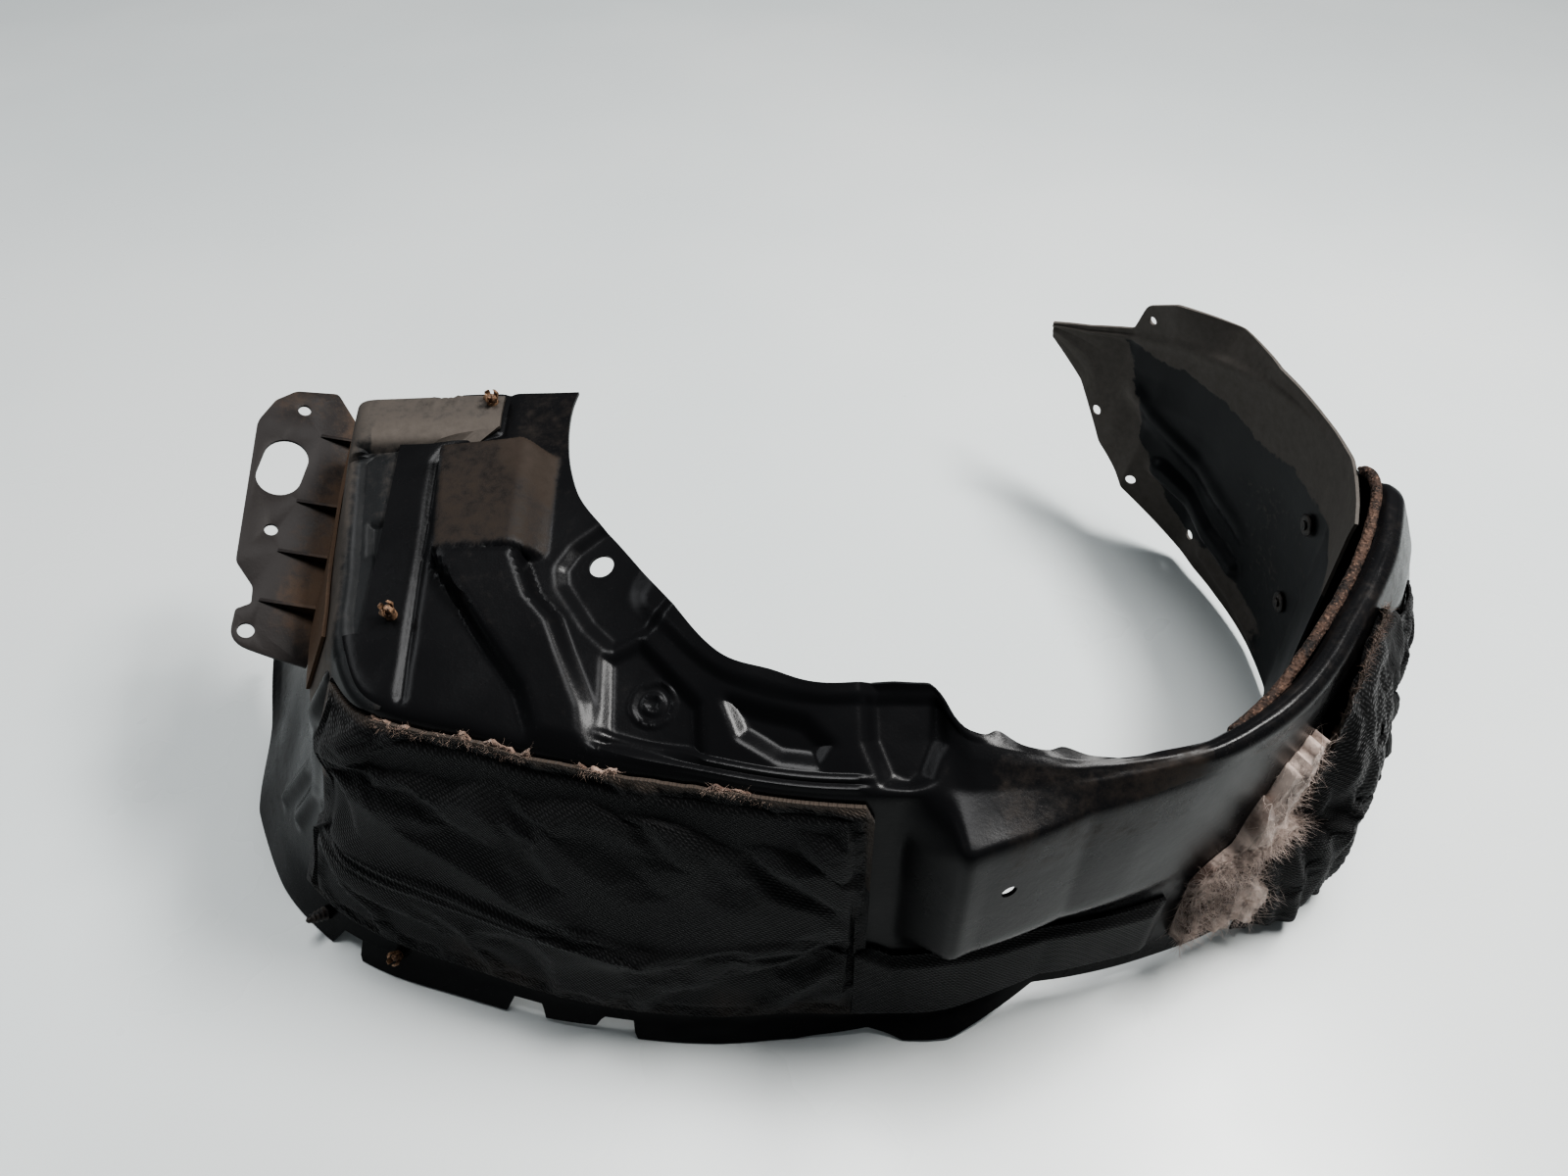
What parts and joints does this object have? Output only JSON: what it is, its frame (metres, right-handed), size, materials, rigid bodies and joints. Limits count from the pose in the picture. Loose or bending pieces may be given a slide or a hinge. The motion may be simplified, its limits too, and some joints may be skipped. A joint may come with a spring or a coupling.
{
  "type": "wheel arch liner",
  "caption": "Front inner wheel-arch liner of a car: curved pressed plastic shells with a ribbed bracket, felt-and-cloth sound pads and push rivets, lying on its outboard edge.",
  "frame": {"origin": "centre of the box of the part, on the floor it lies on", "axes": "+X along the arch, from the bumper leg to the sill leg; +Z towards the engine bay side; +Y towards the open side of the arch"},
  "size_m": [0.909, 0.6099, 0.3097],
  "materials": {
    "liner_plastic": "pressed polypropylene, scuffed and dusty",
    "front_plastic": "pressed polypropylene under brown dust",
    "rear_plastic": "pressed polypropylene under grey road dust",
    "bracket_plastic": "moulded polypropylene, dusty in its corners",
    "fibre_batting": "torn glass-fibre batting",
    "woven_cover": "black woven cloth",
    "seal_foam": "speckled brown foam bead",
    "fastener_beige": "dirty moulded nylon",
    "fastener_black": "moulded nylon"
  },
  "bodies": {
    "liner": {"main_liner": "liner_plastic", "front_section": "front_plastic", "rear_section": "rear_plastic", "front_bracket": "bracket_plastic", "front_pad_core": "fibre_batting", "front_pad_cover": "woven_cover", "rear_pad_core": "fibre_batting", "rear_pad_cover": "woven_cover", "inboard_seal": "seal_foam", "rivet_body_1": "fastener_beige", "rivet_body_2": "fastener_beige", "rivet_body_3": "fastener_beige", "rivet_body_4": "fastener_black", "rivet_body_5": "fastener_black", "finned_clip": "fastener_black"},
    "pin_1": {"rivet_pin_1": "fastener_beige"},
    "pin_2": {"rivet_pin_2": "fastener_beige"},
    "pin_3": {"rivet_pin_3": "fastener_beige"},
    "pin_4": {"rivet_pin_4": "fastener_black"},
    "pin_5": {"rivet_pin_5": "fastener_black"}
  },
  "joints": [
    {"name": "pin_1_release", "type": "slide", "parent": "liner", "child": "pin_1", "axis": [0.011, 0.1537, -0.9881], "range_m": [0, 0.006]},
    {"name": "pin_2_release", "type": "slide", "parent": "liner", "child": "pin_2", "axis": [0.0894, 0.2394, -0.9668], "range_m": [0, 0.006]},
    {"name": "pin_3_release", "type": "slide", "parent": "liner", "child": "pin_3", "axis": [0.2732, 0.8005, -0.5334], "range_m": [0, 0.006]},
    {"name": "pin_4_release", "type": "slide", "parent": "liner", "child": "pin_4", "axis": [-0.9971, -0.0652, -0.0389], "range_m": [0, 0.006]},
    {"name": "pin_5_release", "type": "slide", "parent": "liner", "child": "pin_5", "axis": [-0.9988, -0.0428, -0.0228], "range_m": [0, 0.006]}
  ]
}
